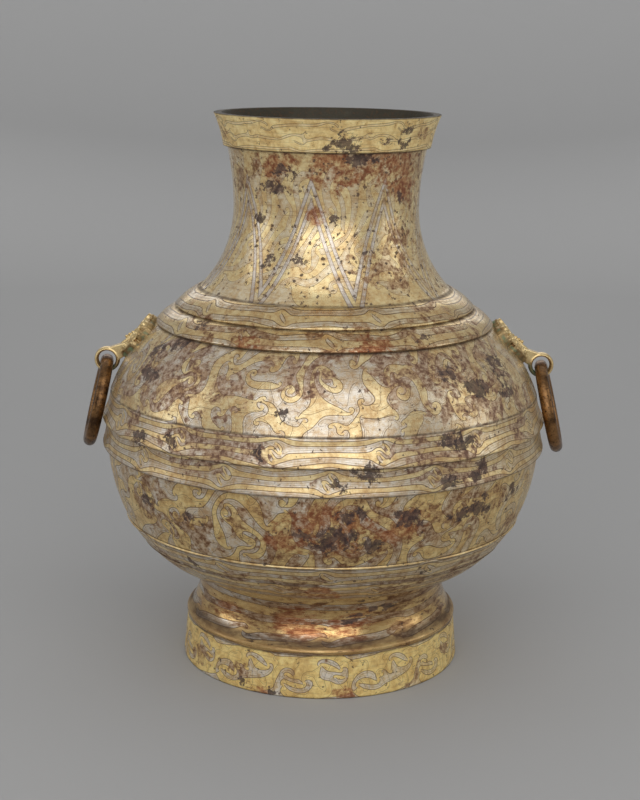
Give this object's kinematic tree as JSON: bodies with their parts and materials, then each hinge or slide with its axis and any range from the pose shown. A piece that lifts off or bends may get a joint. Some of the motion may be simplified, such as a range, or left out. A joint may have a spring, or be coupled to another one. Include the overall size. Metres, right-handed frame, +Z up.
{
  "type": "bronze hu vessel",
  "caption": "Bronze hu wine jar with flared mouth, drawn-in neck, banded round belly and tall flared foot, gilt and silvered, with animal-mask handles that carry loose swinging rings.",
  "frame": {"origin": "on the floor at the centre of the foot, on the vessel's axis", "axes": "+Z up along the vessel's axis, X through the two ring handles, -Y towards the viewer of the picture"},
  "size_m": [0.4002, 0.3625, 0.45],
  "materials": {
    "parcel_gilt_bronze": "worn gold and silver over bronze, satin",
    "gilt_bronze": "worn gilding, satin",
    "bare_bronze": "brown patina, smooth"
  },
  "bodies": {
    "jar": {"vessel_body": "parcel_gilt_bronze", "foot_ring": "parcel_gilt_bronze", "left_mask": "gilt_bronze", "right_mask": "gilt_bronze", "left_mask_rivets": "bare_bronze", "right_mask_rivets": "bare_bronze"},
    "left_ring": {"left_ring": "bare_bronze"},
    "right_ring": {"right_ring": "bare_bronze"}
  },
  "joints": [
    {"name": "left_ring_swing", "type": "hinge", "parent": "jar", "child": "left_ring", "pos_m": [-0.17843, 0, 0.24631], "axis": [-0.1219, 0.9925, 0], "range_deg": [0, 200]},
    {"name": "right_ring_swing", "type": "hinge", "parent": "jar", "child": "right_ring", "pos_m": [0.17843, 0, 0.24631], "axis": [-0.1219, -0.9925, 0], "range_deg": [0, 200]}
  ]
}
